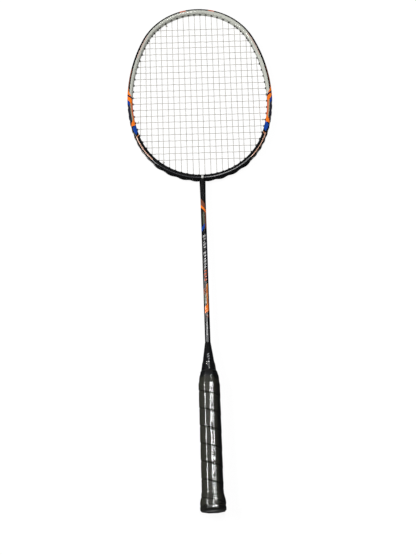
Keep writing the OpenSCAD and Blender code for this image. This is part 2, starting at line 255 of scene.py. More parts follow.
@dataclass(frozen=True)
class Stringing:
    """Where every hole is and how the two strings run, in millimetres."""

    outline: Outline = field(default_factory=Outline)
    mains: int = 11
    crosses: int = 22
    main_edge: float = 15.2
    cross_start: float = 29.5
    cross_end: float = 29.4
    mouth: float = 8.0
    seat: float = 0.6
    bend_out: float = 0.4
    layer: float = 0.36
    splay: float = 24.0
    hole_gap: float = 4.2
    groove_floor: float = 1.5
    # Crosses 1 to 3 take turns with mains 7 to 9 at each shoulder
    taking_turns: int = 3
    # The crosses whose holes the outer mains share at the crown and at the base
    crown_shared: tuple[int, ...] = (4, 6)
    base_shared: tuple[int, ...] = (22, 21, 20, 18)
    # The cross whose hole takes a main string's tail, and the mains whose holes take the cross string's
    main_tail: int = 16
    cross_tails: tuple[int, int] = (6, 7)

    @property
    def main_pitch(self) -> float:
        """Distance between main strings."""
        return (self.outline.width / 2 - self.main_edge) / (self.mains - 0.5)

    @property
    def cross_pitch(self) -> float:
        """Distance between cross strings."""
        return (self.outline.length - self.cross_start - self.cross_end) / (self.crosses - 1)

    def main_x(self, i: int) -> float:
        """How far main string i lies from the axis, counted outwards."""
        return self.main_pitch * (i - 0.5)

    def cross_y(self, j: int) -> float:
        """The height of cross string j, counted from the crown."""
        return self.outline.crown_y - self.cross_start - self.cross_pitch * (j - 1)

    def headings(self) -> tuple[list[float], list[float], list[float]]:
        """The holes of the mains at the crown, of the mains at the base, and of the crosses."""
        find, turns = self.outline.heading_at, self.taking_turns
        first = self.mains - len(self.crown_shared) - turns + 1
        step = math.degrees(self.hole_gap / (self.outline.arcs()[0].r - self.groove_floor))
        mixed: list[float] = []
        for k in range(turns):
            ends = (find(self.mouth, x=self.main_x(first + k)), find(self.mouth, y=self.cross_y(1 + k)))
            for own in ends:
                mixed.append(max(own, mixed[-1] + step) if mixed else own)
        below = range(turns + 1, self.crosses + 1)
        across = mixed[1::2] + [find(self.mouth, y=self.cross_y(j)) for j in below]
        top = [find(self.mouth, x=self.main_x(i)) for i in range(1, first)] + mixed[0::2]
        top += [across[j - 1] for j in self.crown_shared]
        alone = self.mains - len(self.base_shared)
        low = [find(self.mouth, x=self.main_x(i), low=True) for i in range(1, alone + 1)]
        low += [across[j - 1] for j in self.base_shared]
        return top, low, across

    def tails(self) -> Place:
        """The holes of a main string's tail, and of the cross string's upper and lower tails."""
        top, low, across = self.headings()
        upper, lower = self.cross_tails
        return across[self.main_tail - 1], top[upper - 1], low[lower - 1]

    def lean(self, heading: float, low: list[float]) -> float:
        """The direction of a hole's bore: the two beside the neck run outwards."""
        return heading - self.splay if abs(heading - low[0]) < 1e-9 else heading

    def along(self, heading: float, low: list[float], depth: float) -> Point:
        """A point on a hole's own line, at a depth inside the outer face."""
        d = self.lean(heading, low)
        x, y = self.outline.spot(heading, self.mouth)
        length = (self.mouth - depth) / math.cos(math.radians(heading - d))
        return x + length * math.sin(math.radians(d)), y + length * math.cos(math.radians(d))

    def bend(self, heading: float, low: list[float]) -> Point:
        """Where a string turns from its hole into the bed."""
        d = math.radians(self.lean(heading, low))
        x, y = self.outline.spot(heading, self.mouth)
        return x - self.bend_out * math.sin(d), y - self.bend_out * math.cos(d)

    def groove(self, a: float, b: float) -> list[Point]:
        """Points of a loop in the outer groove, between two headings."""
        n = math.ceil(abs(b - a) / 3)
        return [self.outline.spot(a + (b - a) * k / n, self.seat) for k in range(1, n)]


@dataclass(frozen=True)
class StringBed:
    """The two strings, woven over and under each other, with their knots."""

    plan: Stringing = field(default_factory=Stringing)
    radius: float = 0.35
    steps: int = 8
    # A crossing nearer to a bend than this isn't woven
    clear: float = 1.2
    # How far a tail runs on past its bend, to its knot
    tail: float = 0.9
    knot_r: float = 0.72
    knot_turns: int = 3
    knot_steps: int = 60

    def weave(self, a: Point, b: Point, crossings: Iterable[tuple[float, int]], rest: float) -> Path:
        """A run across the bed that rises and falls at each crossing.

        Args:
            a: The bend where it enters.
            b: The bend where it leaves.
            crossings: (share of the way, +1 over or -1 under) at each crossing, in order.
            rest: Its height in the holes at both ends.

        Returns:
            The run's points.
        """
        keys = [(0.0, rest), *((t, side * self.radius) for t, side in crossings), (1.0, rest)]
        out: Path = []
        for (ta, za), (tb, zb) in zip(keys, keys[1:]):
            for k in range(self.steps):
                s = k / self.steps
                t = ta + (tb - ta) * s
                z = za + (zb - za) * (0.5 - 0.5 * math.cos(math.pi * s))
                out.append((a[0] + (b[0] - a[0]) * t, a[1] + (b[1] - a[1]) * t, z))
        return [*out, (*b, rest)]

    def over(self, i: int, side: int, j: int) -> int:
        """Whether main string i on a side passes over (1) or under (-1) cross string j."""
        return 1 if (i + j + (side < 0)) % 2 else -1

    def meets(self, a: Point, b: Point, j: int) -> bool:
        """Whether cross string j meets a main string that runs from one bend to another."""
        return b[1] + self.clear < self.plan.cross_y(j) < a[1] - self.clear

    def half_main(self, side: int) -> Path:
        """The main string on one side, from the crown's middle to its tail."""
        plan = self.plan
        top, low, _ = plan.headings()
        tail, z = plan.tails()[0], plan.layer
        half: Path = [(0.0, plan.outline.crown_y - plan.seat, z)]
        for i in range(1, plan.mains + 1):
            a, b = plan.bend(top[i - 1], low), plan.bend(low[i - 1], low)
            marks = [
                ((a[1] - plan.cross_y(j)) / (a[1] - b[1]), self.over(i, side, j))
                for j in range(1, plan.crosses + 1)
                if self.meets(a, b, j)
            ]
            run = lifted([plan.along(top[i - 1], low, plan.seat)], z) + self.weave(a, b, marks, z)
            run += lifted([plan.along(low[i - 1], low, plan.seat)], z)
            half += run if i % 2 else run[::-1]
            if i < plan.mains:
                ends = low if i % 2 else top
                half += lifted(plan.groove(ends[i - 1], ends[i]), z)
        out = plan.bend(tail, low)
        past = (out[0] - self.tail, out[1])
        half += lifted([*plan.groove(low[-1], tail), plan.along(tail, low, plan.seat), out, past], z)
        return [(side * x, y, z) for x, y, z in half]

    def main_path(self) -> Path:
        """The main string: from one tail over the crown's middle to the other."""
        return self.half_main(-1)[:0:-1] + self.half_main(1)

    def cross_path(self) -> Path:
        """The cross string: from its upper tail down the bed to its lower tail."""
        plan = self.plan
        top, low, across = plan.headings()
        _, upper, lower = plan.tails()
        z = -plan.layer
        out, end = plan.bend(upper, low), plan.bend(lower, low)
        path = lifted([(out[0], out[1] - self.tail), out, plan.along(upper, low, plan.seat)], z, -1)
        path += lifted(plan.groove(upper, across[0]), z, -1)
        for j in range(1, plan.crosses + 1):
            side = -1 if j % 2 else 1
            h = across[j - 1]
            x, y = plan.bend(h, low)
            marks = []
            for s in range(-plan.mains, plan.mains + 1):
                if s == 0:
                    continue
                i, sign = abs(s), -1 if s < 0 else 1
                a, b = plan.bend(top[i - 1], low), plan.bend(low[i - 1], low)
                if self.meets(a, b, j):
                    at = sign * (a[0] + (b[0] - a[0]) * (a[1] - plan.cross_y(j)) / (a[1] - b[1]))
                    marks.append(((at - side * x) / (-2 * side * x), -self.over(i, sign, j)))
            marks = sorted(m for m in marks if 0.008 < m[0] < 0.992)
            hole = [plan.along(h, low, plan.seat)]
            run = self.weave((side * x, y), (-side * x, y), marks, z)
            path += lifted(hole, z, side) + run + lifted(hole, z, -side)
            if j < plan.crosses:
                path += lifted(plan.groove(h, across[j]), z, -side)
        path += lifted(plan.groove(across[-1], lower), z, -1)
        path += lifted([plan.along(lower, low, plan.seat), end, (end[0], end[1] + self.tail)], z, -1)
        return path

    def knot_places(self) -> list[tuple[Point, Point, int]]:
        """Where each knot sits, which way its tail goes on, and its side: above (-1) or below (1) the bed."""
        _, low, _ = self.plan.headings()
        (mx, my), (ux, uy), (lx, ly) = (self.plan.bend(h, low) for h in self.plan.tails())
        places = [((s * (mx - self.tail), my), (-s, 0.0), -1) for s in (1, -1)]
        places.append(((-ux, uy - self.tail), (0.0, -1.0), 1))
        places.append(((-lx, ly + self.tail), (0.0, 1.0), 1))
        return places

    def knot_paths(self) -> list[Path]:
        """Four small knots: the tail wound round the string that holds it, with its end cut short."""
        paths = []
        for (px, py), (dx, dy), sign in self.knot_places():
            path: Path = []
            for k in range(self.knot_steps + 1):
                t = k / self.knot_steps
                turn = math.pi * (0.5 + 2 * self.knot_turns * t)
                r = self.knot_r + 0.1 * math.sin(9 * t)
                # The coil runs out along the tail, and its second half lies back over the first
                go = 0.35 + 1.9 * (t if t < 0.5 else 1 - 0.5 * t)
                side, up = r * math.cos(turn), r * math.sin(turn) * -sign
                rise = sign * 0.108 * (1 - 2 * t)
                path.append((px + dx * go - dy * side, py + dy * go + dx * side, up + rise))
            lx, ly, lz = path[-1]
            for on, across, up in ((0.4, 0.9, 0.35), (0.7, 1.9, 0.5)):
                path.append((lx + dx * on - dy * across, ly + dy * on + dx * across, lz + up))
            paths.append(path)
        return paths

    def tube(self, name: str, paths: list[Path], material: Material, sides: int = 2) -> Object:
        """A round string along each path.

        Args:
            name: The piece's name.
            paths: The runs, in millimetres.
            material: What it is made of.
            sides: The curve's bevel resolution.

        Returns:
            The tube as a mesh.
        """
        curve = bpy.data.curves.new(name, "CURVE")
        curve.dimensions, curve.bevel_depth, curve.bevel_resolution = "3D", self.radius * MM, sides
        curve.use_fill_caps, curve.twist_mode = True, "Z_UP"
        for path in paths:
            line = curve.splines.new("POLY")
            line.points.add(len(path) - 1)
            for point, (x, y, z) in zip(line.points, path):
                point.co = (x * MM, y * MM, z * MM, 1)
        holder = bpy.data.objects.new(name + "_line", curve)
        bpy.context.scene.collection.objects.link(holder)
        bpy.context.view_layer.update()
        bm = bmesh.new()
        bm.from_mesh(bpy.data.meshes.new_from_object(holder))
        bpy.data.objects.remove(holder)
        bmesh.ops.recalc_face_normals(bm, faces=bm.faces)
        return finished(name, bm, material=material)

    def build(self, nylon: Material) -> None:
        """Makes both strings and the knots."""
        seat(self.tube("Main_string", [self.main_path()], nylon), "string", "main_string")
        seat(self.tube("Cross_string", [self.cross_path()], nylon), "string", "cross_string")
        seat(self.tube("String_knots", self.knot_paths(), nylon, 3), "string", "string_knots")


# ---- painted patterns ----


class Shade(Enum):
    """The racket's paint colours, with the colours of a painted highlight and a painted reflection."""

    BLACK = "#0a0a0b"
    SILVER = "#c3c5bb"
    ORANGE = "#f47a1c"
    DEEP_ORANGE = "#c9582a"
    BROWN = "#7a4632"
    BLUE = "#0b3f9c"
    NAVY = "#23212f"
    PLUM = "#2b1233"
    PEACH = "#d9ac94"
    BLUSH = "#c9b3a8"
    SAGE = "#5b6152"
    STRAW = "#9c977a"
    CORAL = "#dd7048"
    RUST = "#c07a52"
    AMBER = "#c8702f"
    # Light grey of the printed bars, and of the painted highlight down the shaft
    PRINT_AND_HIGHLIGHT = "#a2a2a2"
    INK = "#15152b"
    WHITE = "#dcdcd8"
    # Grey of the painted reflection and highlight lines, not a paint of the racket's own
    SHEEN_GREY = "#55565a"
    PALE_PRINT = "#8b8c90"


ALL_ACROSS: Point = (-99.0, 99.0)


@dataclass(frozen=True)
class Patch:
    """One painted shape: a slanted band of a surface, in millimetres.

    u runs along the piece and w across it; slant is how far u shifts for each millimetre of w.
    """

    colour: Shade
    u: Point
    w: Point = ALL_ACROSS
    slant: float = 0.0


def paint(tree: Tree, u: Socket, w: Socket, ground: str, patches: Iterable[Patch]) -> Socket:
    """Lays patches over a ground colour, later ones on top.

    Args:
        tree: The material's nodes.
        u: The distance along, in millimetres.
        w: The distance across, in millimetres.
        ground: The colour under them all.
        patches: What is painted.

    Returns:
        The colour.
    """
    coat: Socket | Colour = linear(ground)
    for p in patches:
        slid = u
        if p.slant:
            slid = add(tree, "ShaderNodeMath", {0: w, 1: -p.slant, 2: u}, operation="MULTIPLY_ADD").outputs[0]
        span = {0: slid, 1: sum(p.u) / 2, 2: (p.u[1] - p.u[0]) / 2}
        mask = add(tree, "ShaderNodeMath", span, operation="COMPARE").outputs[0]
        if p.w != ALL_ACROSS:
            span = {0: w, 1: sum(p.w) / 2, 2: (p.w[1] - p.w[0]) / 2}
            near = add(tree, "ShaderNodeMath", span, operation="COMPARE").outputs[0]
            mask = add(tree, "ShaderNodeMath", {0: mask, 1: near}, operation="MULTIPLY").outputs[0]
        layers = {0: mask, 6: coat, 7: linear(p.colour.value)}
        coat = add(tree, "ShaderNodeMix", layers, data_type="RGBA").outputs[2]
    return coat


HEAD_PATCHES = (
    Patch(Shade.SILVER, (-200, 168.0), (2.9, 99), 1.95),
    Patch(Shade.BLUSH, (82, 120), (3.0, 4.3)),
    Patch(Shade.DEEP_ORANGE, (15.5, 24.0), (-9, 2.9)),
    Patch(Shade.BROWN, (137, 170), (-9, 1.2)),
    Patch(Shade.ORANGE, (168.0, 400), (-9, 99), 1.95),
    Patch(Shade.ORANGE, (168.0, 400), (-9, 0.2)),
    Patch(Shade.PLUM, (175.4, 177.9), (-99, 99), 0.62),
    Patch(Shade.CORAL, (190.0, 219.0), (4.9, 99)),
    Patch(Shade.NAVY, (183.4, 400), (-99, 3.6), 1.0),
    Patch(Shade.BLUE, (183.4, 190.0), (-99, 3.0), 1.0),
    Patch(Shade.STRAW, (188.5, 400), (3.6, 4.9)),
    Patch(Shade.ORANGE, (220.8, 400), (-99, 99), -1.5),
    Patch(Shade.BLACK, (222.4, 600), (-99, 99)),
    Patch(Shade.BLUE, (225.9, 400), (1.0, 99), -0.72),
    Patch(Shade.BLACK, (227.6, 600), (-99, 99), 2.6),
    Patch(Shade.BLACK, (239.2, 600), (-99, 99), -1.0),
    Patch(Shade.RUST, (241.0, 242.4), (2.4, 6.6), -0.7),
    Patch(Shade.PEACH, (238.6, 279), (1.5, 2.8)),
    # A faint grey line painted along the base of the head: a painted reflection along the tube
    Patch(Shade.SHEEN_GREY, (279, 349), (1.5, 2.0)),
    Patch(Shade.WHITE, (350.1, 352), (1.0, 5.2)),
)


@dataclass(frozen=True)
class BarRow:
    """A row of plain slanted bars, in millimetres; their lengths and spans across are taken in turn."""

    shade: Shade
    start: float
    pitch: float
    count: int
    lengths: tuple[float, ...]
    spans: tuple[Point, ...]
    slant: float
    left_out: int = -1

    def patches(self) -> list[Patch]:
        """The bars, from the lowest up."""
        row = []
        for k in range(self.count):
            at, length = self.start + self.pitch * k, self.lengths[k % len(self.lengths)]
            if k != self.left_out:
                row.append(Patch(self.shade, (at, at + length), self.spans[k % len(self.spans)], self.slant))
        return row


SHAFT_BARS = BarRow(
    Shade.PRINT_AND_HIGHLIGHT, 304.2, 3.75, 12, (1.8, 2.3, 2.8), ((-1.7, 0.9), (-1.1, 1.6), (-1.7, 1.6)), 0.55, left_out=6
)
SHAFT_BLOCKS = BarRow(Shade.DEEP_ORANGE, 287.4, 3.9, 4, (2.0,), ((-1.7, 1.5), (-1.3, 1.5)), 0.5)
CONE_BARS = BarRow(Shade.PALE_PRINT, 170.6, 3.3, 7, (1.6, 2.0), ((-1.5, 0.9), (-0.5, 1.6), (-1.3, 1.3)), 0.6)

SHAFT_PATCHES = (
    Patch(Shade.INK, (290.0, 352.0), (2.1, 9)),
    Patch(Shade.BROWN, (384.5, 394.0), (-9, 2.2), -1.6),
    Patch(Shade.PLUM, (381.5, 385.5), (-9, 9), -1.6),
    Patch(Shade.BROWN, (357.0, 381.0), (1.3, 9)),
    Patch(Shade.SAGE, (362.0, 380.0), (-1.0, 1.0)),
    Patch(Shade.ORANGE, (382.4, 386.2), (-9, 9), -1.25),
    Patch(Shade.BLUE, (357.0, 362.8), (-9, 1.1), 1.35),
    *SHAFT_BARS.patches(),
    *SHAFT_BLOCKS.patches(),
    Patch(Shade.BROWN, (270.0, 278.0), (-9, -0.8), 0.6),
    Patch(Shade.SAGE, (257.0, 270.0), (-2.6, -0.1)),
    Patch(Shade.PLUM, (247.0, 278.0), (2.2, 9)),
    Patch(Shade.AMBER, (245.0, 281.3), (0.2, 2.2), 1.2),
    Patch(Shade.ORANGE, (246.0, 255.0), (-2.2, 2.2), 0.9),
    Patch(Shade.BROWN, (238.6, 242.0), (-0.4, 1.6), 0.5),
    # A thin light line down the middle of the shaft that fades to grey below: a painted highlight
    Patch(Shade.PRINT_AND_HIGHLIGHT, (216.0, 234.1), (-0.6, 0.2)),
    Patch(Shade.SHEEN_GREY, (204.0, 216.0), (-0.5, 0.1)),
)


# ---- finishes ----


# Under a full clear coat the paint has hardly any gloss of its own
FULL_COAT, UNDER_COAT = 0.7, 0.08


@dataclass(frozen=True)
class Finish:
    """A plain dielectric or metal surface, with a fine unevenness in its gloss and relief."""

    name: str
    colour: str
    roughness: float
    metallic: float = 0.0
    coat: float = 0.0
    coat_roughness: float = 0.06
    grain_mm: float = 0.0
    grain_depth_mm: float = 0.0
    tone: float = 0.0
    uneven: float = 0.0

    def start(self) -> tuple[Material, Tree, Node, Socket]:
        """A new material, its nodes, its shader and the Object coordinates."""
        mat = bpy.data.materials.new(self.name)
        mat.use_nodes = True
        tree = mat.node_tree
        tree.nodes.clear()
        shader = add(
            tree,
            "ShaderNodeBsdfPrincipled",
            {
                "Base Color": linear(self.colour),
                "Roughness": self.roughness,
                "Metallic": self.metallic,
                "Coat Weight": self.coat,
                "Coat Roughness": self.coat_roughness,
                "Specular IOR Level": UNDER_COAT if self.coat >= FULL_COAT else 0.5,
            },
        )
        add(tree, "ShaderNodeOutputMaterial", {"Surface": shader.outputs[0]})
        spot = add(tree, "ShaderNodeTexCoord").outputs["Object"]
        mat.diffuse_color = linear(self.colour)
        return mat, tree, shader, spot

    def texture(self, tree: Tree, shader: Node, spot: Socket, colour: Socket | None = None) -> None:
        """Adds the tone, gloss and relief that the finish asks for.

        Args:
            tree: The material's nodes.
            shader: The shader that takes them.
            spot: The Object coordinates.
            colour: A painted pattern, or None for the finish's one colour.
        """
        if colour is not None:
            tree.links.new(colour, shader.inputs["Base Color"])
        if not self.grain_mm:
            return
        fine = {"Vector": spot, "Scale": 1 / (self.grain_mm * MM), "Detail": 3.0}
        grain = add(tree, "ShaderNodeTexNoise", fine).outputs[0]
        if self.tone:
            swing = add(tree, "ShaderNodeMapRange", {0: grain, 3: 1 - self.tone, 4: 1 + self.tone}).outputs[0]
            base = linear(self.colour)[:3] if colour is None else colour
            toned = add(tree, "ShaderNodeVectorMath", {0: base, 1: swing}, operation="MULTIPLY")
            tree.links.new(toned.outputs[0], shader.inputs["Base Color"])
        if self.uneven:
            low, high = self.roughness - self.uneven, self.roughness + self.uneven
            gloss = add(tree, "ShaderNodeMapRange", {0: grain, 3: low, 4: high}).outputs[0]
            tree.links.new(gloss, shader.inputs["Roughness"])
        if self.grain_depth_mm:
            relief = {"Height": grain, "Distance": self.grain_depth_mm * MM, "Strength": 1.0}
            bump = add(tree, "ShaderNodeBump", relief)
            tree.links.new(bump.outputs[0], shader.inputs["Normal"])

    def make(self) -> Material:
        """The finished material."""
        mat, tree, shader, spot = self.start()
        self.texture(tree, shader, spot)
        return mat


HEAD_MAP = "Round_and_across"


@dataclass(frozen=True)
class Lacquer(Finish):
    """Clear-coated paint over carbon fibre, with its painted bands."""

    patches: tuple[Patch, ...] = ()
    on_head: bool = False

    def make(self) -> Material:
        """The painted material: its bands follow the head's UV map, or a straight piece's own axis."""
        mat, tree, shader, spot = self.start()
        if self.on_head:
            # The UV map holds the distance round the head and across its tube, in millimetres
            on_tube = add(tree, "ShaderNodeUVMap", uv_map=HEAD_MAP).outputs[0]
            u, w, _ = add(tree, "ShaderNodeSeparateXYZ", {0: on_tube}).outputs
        else:
            x, y, _ = add(tree, "ShaderNodeSeparateXYZ", {0: spot}).outputs
            u, w = (
                add(tree, "ShaderNodeMath", {0: metres, 1: 1 / MM}, operation="MULTIPLY").outputs[0]
                for metres in (y, x)
            )
        self.texture(tree, shader, spot, paint(tree, u, w, self.colour, self.patches))
        return mat


@dataclass(frozen=True)
class BraidedNylon(Finish):
    """Multifilament nylon string: an off-white braid under a thin clear skin."""

    # The real ribs are about 0.15 mm apart, which is too fine to show
    rib_mm: float = 0.5
    rib_depth_mm: float = 0.03

    def make(self) -> Material:
        """The material, with the braid's ribs crossing at 45 degrees to the strings."""
        mat, tree, shader, spot = self.start()
        ribs = []
        for turn in (math.pi / 4, -math.pi / 4):
            turned = add(tree, "ShaderNodeMapping", {0: spot, 2: (0, 0, turn)}).outputs[0]
            wave = {"Vector": turned, "Scale": 1 / (self.rib_mm * MM * 2 * math.pi)}
            ribs.append(add(tree, "ShaderNodeTexWave", wave).outputs[1])
        both = add(tree, "ShaderNodeMath", {0: ribs[0], 1: ribs[1]}, operation="MULTIPLY").outputs[0]
        relief = {"Height": both, "Distance": self.rib_depth_mm * MM, "Strength": 0.6}
        bump = add(tree, "ShaderNodeBump", relief)
        tree.links.new(bump.outputs[0], shader.inputs["Normal"])
        return mat


@dataclass(frozen=True)
class ClearFilm(Finish):
    """Thin clear heat-shrunk film: it shows only in its bright, creased reflections."""

    ior: float = 1.62
    crease_mm: float = 2.6
    crease_depth_mm: float = 0.12

    def make(self) -> Material:
        """The material: see-through, with a clear gloss that strengthens at a slant."""
        mat, tree, shader, spot = self.start()
        # The creases run round the handle, so they are longer that way than along it
        round_it = add(tree, "ShaderNodeMapping", {0: spot, 3: (0.4, 1.6, 0.4)}).outputs[0]
        folds = {"Vector": round_it, "Scale": 1 / (self.crease_mm * MM), "Detail": 4.0, "Distortion": 0.7}
        crease = add(tree, "ShaderNodeTexNoise", folds).outputs[0]
        relief = {"Height": crease, "Distance": self.crease_depth_mm * MM, "Strength": 1.0}
        bump = add(tree, "ShaderNodeBump", relief).outputs[0]
        share = add(tree, "ShaderNodeFresnel", {"IOR": self.ior, "Normal": bump}).outputs[0]
        clear = add(tree, "ShaderNodeBsdfTransparent")
        shine = {"Color": linear(self.colour), "Roughness": self.roughness, "Normal": bump}
        gloss = add(tree, "ShaderNodeBsdfGlossy", shine)
        mixed = add(tree, "ShaderNodeMixShader", {0: share, 1: clear.outputs[0], 2: gloss.outputs[0]})
        tree.nodes.remove(shader)
        out = next(n for n in tree.nodes if n.type == "OUTPUT_MATERIAL")
        tree.links.new(mixed.outputs[0], out.inputs["Surface"])
        return mat


@dataclass(frozen=True)
class Workshop:
    """Every finish on the racket."""

    # Sprayed enamel over carbon fibre, under clear coat: crisp colours, and a hard gloss drawn out
    # along the tube
    head: Finish = Lacquer(
        "Painted_carbon_head",
        Shade.BLACK.value,
        0.4,
        coat=0.7,
        coat_roughness=0.07,
        grain_mm=0.5,
        tone=0.05,
        patches=HEAD_PATCHES,
        on_head=True,
    )
    # The same on the thin shaft: one narrow bright line down a black rod, partly a painted highlight in its
    # bands and partly the clear coat's own reflection
    shaft: Finish = Lacquer(
        "Painted_carbon_shaft",
        Shade.BLACK.value,
        0.3,
        coat=0.8,
        coat_roughness=0.05,
        grain_mm=0.5,
        tone=0.05,
        patches=SHAFT_PATCHES,
    )
    # Plain black enamel where the shaft meets the head: deep black with a small clear highlight
    neck: Finish = Finish(
        "Black_enamel_neck", Shade.BLACK.value, 0.3, coat=1.0, grain_mm=0.5, tone=0.05
    )
    # Moulded ABS from a polished tool: black, with a gloss a little softer than the lacquer's
    cone: Finish = Lacquer(
        "Moulded_ABS_cone",
        "#08080a",
        0.35,
        coat=1.0,
        coat_roughness=0.1,
        grain_mm=0.6,
        tone=0.06,
        grain_depth_mm=0.003,
        patches=tuple(CONE_BARS.patches()),
    )
    # Moulded nylon: small dark dots that are a little waxy
    grommet: Finish = Finish("Moulded_nylon_grommet", "#050505", 0.45, grain_mm=0.3, tone=0.1, uneven=0.06)
    # Braided nylon: warm grey threads with a soft shine
    string: Finish = BraidedNylon("Braided_nylon_string", "#b4b0a7", 0.42)
    # Polyurethane-coated felt: near-black with an olive cast, a soft sheen and fine pores
    wrap: Finish = Finish(
        "Polyurethane_grip_wrap", "#343428", 0.5, grain_mm=0.9, grain_depth_mm=0.05, tone=0.42, uneven=0.08
    )
    # Calendered vinyl tape: black and smoother than the wrap below it
    tape: Finish = Finish(
        "Vinyl_finishing_tape", "#0c0c0d", 0.3, grain_mm=0.8, grain_depth_mm=0.02, tone=0.1, uneven=0.05
    )
    # Heat-shrunk film: unseen but for white, creased glints along the handle's corners
    film: Finish = ClearFilm("Clear_shrink_film", "#f4f6f6", 0.07)
    # Moulded ABS from a spark-eroded tool: dark olive, with a fine even texture
    cap: Finish = Finish(
        "Moulded_ABS_butt_cap", "#22221c", 0.3, grain_mm=0.4, grain_depth_mm=0.02, tone=0.15, uneven=0.06
    )
    # Sprayed silver enamel: an even light grey disc
    badge: Finish = Finish("Silver_enamel_badge", "#a9aaa6", 0.28, coat=0.8, grain_mm=0.3, tone=0.06)
    # Zinc-plated steel: small bright heads
    steel: Finish = Finish("Bright_steel_tack", "#a8a8a6", 0.3, metallic=1.0, grain_mm=0.3, uneven=0.06)
    # Sanded beech: a pale matt wood with short flecks
    wood: Finish = Finish("Sanded_beech", "#c69a63", 0.6, grain_mm=1.6, grain_depth_mm=0.03, tone=0.14)


# ---- the head's tube ----


@dataclass(frozen=True)
class HeadTube:
    """The head's carbon tube, with its string groove and the scalloped lips of its lower half.

    Sizes are in millimetres.
    """

    plan: Stringing = field(default_factory=Stringing)
    width: float = 6.8
    depth: float = 10.0
    corner: float = 2.8
    groove_w: float = 4.0
    groove_depth: float = 1.5
    step: float = 1.8
    lip: float = 1.0
    # Between the holes of the lower half the lips are cut back, and over the main string's turns
    # they stand out
    scallop: float = 0.7
    scallop_from: float = 184.0
    scallop_to: float = 348.0
    land: float = 1.2
    cover: float = 0.9
    cover_past: float = 1.6
    base_turns: int = 4

    def section(self, bm: Mesh) -> list[bmesh.types.BMEdge]:
        """The tube's section at the crown, drawn from its corners and rounded.

        Args:
            bm: The mesh that takes it.

        Returns:
            Its closed ring of edges.
        """
        w, h, g, d = self.width, self.depth / 2, self.groove_w / 2, self.groove_depth
        corners = [(0, h), (w, h), (w, -h), (0, -h), (0, -g), (d, -g), (d, g), (0, g)]
        top = self.plan.outline.crown_y
        verts = [bm.verts.new((0, (top - a) * MM, z * MM)) for a, z in corners]
        for a, b in zip(verts, verts[1:] + verts[:1]):
            bm.edges.new((a, b))
        rounded = {"affect": "VERTICES", "profile": 0.5, "material": -1}
        bmesh.ops.bevel(bm, geom=verts[:4], offset=self.corner * MM, segments=6, **rounded)
        level = [v for v in bm.verts if abs(abs(v.co.z) - g * MM) < 1e-6]
        lips = [v for v in level if abs(v.co.y - top * MM) < 1e-6]
        bmesh.ops.bevel(bm, geom=lips, offset=0.16 * MM, segments=2, **rounded)
        # The long flats get points of their own, so that the painted bands' map follows them
        long = [e for e in bm.edges if e.calc_length() > 2.2 * MM]
        bmesh.ops.subdivide_edges(bm, edges=long, cuts=3)
        return list(bm.edges)

    def sweep(self, bm: Mesh) -> None:
        """Carries the section right round the head, arc by arc, and closes it."""
        arcs = self.plan.outline.arcs()
        left = [Arc(-a.x, a.y, a.r, 360 - a.end, 360 - a.start) for a in reversed(arcs)]
        ring = self.section(bm)
        for arc in arcs + left:
            turn = arc.end - arc.start
            steps = max(2, round(math.radians(turn) * arc.r / self.step))
            centre, angle = (arc.x * MM, arc.y * MM, 0), -math.radians(turn)
            out = bmesh.ops.spin(bm, geom=ring, cent=centre, axis=(0, 0, 1), angle=angle, steps=steps)
            ring = [g for g in out["geom_last"] if isinstance(g, bmesh.types.BMEdge)]
        bmesh.ops.remove_doubles(bm, verts=bm.verts, dist=0.02 * MM)
        bmesh.ops.recalc_face_normals(bm, faces=bm.faces)

    def scalloped(self, run: float, holes: list[float], turns: list[Point]) -> float:
        """How far a lip is cut back between two holes, or below 0 where it stands out over a turn.

        Args:
            run: The distance round the head.
            holes: Where the holes are.
            turns: Where the main string turns outside the tube.

        Returns:
            The distance in millimetres.
        """
        for a, b in turns:
            if a < run < b:
                return -self.cover * math.sin(math.pi * (run - a) / (b - a))
        faded = eased((run - self.scallop_from) / 8) * eased((self.scallop_to - run) / 6)
        near = min(abs(run - h) for h in holes)
        return self.scallop * faded * eased((near - self.land) / 2.6)

    def run_to(self, heading: float) -> float:
        """How far round the head a heading lies."""
        return self.plan.outline.run_and_depth(*self.plan.outline.spot(heading, 0))[0]

    def hole_runs(self) -> list[float]:
        """How far round the head each hole lies."""
        _, low, across = self.plan.headings()
        return [self.run_to(h) for h in low + across]

    def turns(self) -> list[Point]:
        """The stretches round the base where the main string turns outside the tube."""
        runs = [self.run_to(h) for h in self.plan.headings()[1][: self.base_turns * 2]]
        return [(far - self.cover_past, near + self.cover_past) for near, far in zip(runs[0::2], runs[1::2])]

    def build(self, paint_work: Material) -> Object:
        """Makes the tube with its UV map."""
        bm = bmesh.new()
        self.sweep(bm)
        holes, turns = self.hole_runs(), self.turns()
        outline = self.plan.outline
        uv = bm.loops.layers.uv.new(HEAD_MAP)
        where: dict[bmesh.types.BMVert, Point] = {}
        for v in bm.verts:
            run, depth = outline.run_and_depth(v.co.x / MM, v.co.y / MM)
            rise = self.depth / 2 - abs(v.co.z / MM)
            where[v] = (run, depth - rise if depth < self.width / 2 else depth + rise)
            if depth < self.lip and run > self.scallop_from:
                back = self.scalloped(run, holes, turns) * (1 - depth / self.lip)
                x, y = self.inwards(v.co.x / MM, v.co.y / MM)
                v.co.x += x * back * MM
                v.co.y += y * back * MM
        for face in bm.faces:
            for loop in face.loops:
                loop[uv].uv = where[loop.vert]
        return seat(finished("Head_tube", bm, material=paint_work), "frame_lacquer", "head_frame")

    def inwards(self, x: float, y: float) -> Point:
        """The direction from a point on the outline towards the inside of the head."""
        for arc in self.plan.outline.arcs():
            dx, dy = abs(x) - arc.x, y - arc.y
            heading = math.degrees(math.atan2(dx, dy)) % 360
            if heading <= arc.end + 1e-6:
                break
        length = math.hypot(dx, dy)
        return -math.copysign(dx / length, x * dx), -dy / length


# ---- the handle ----


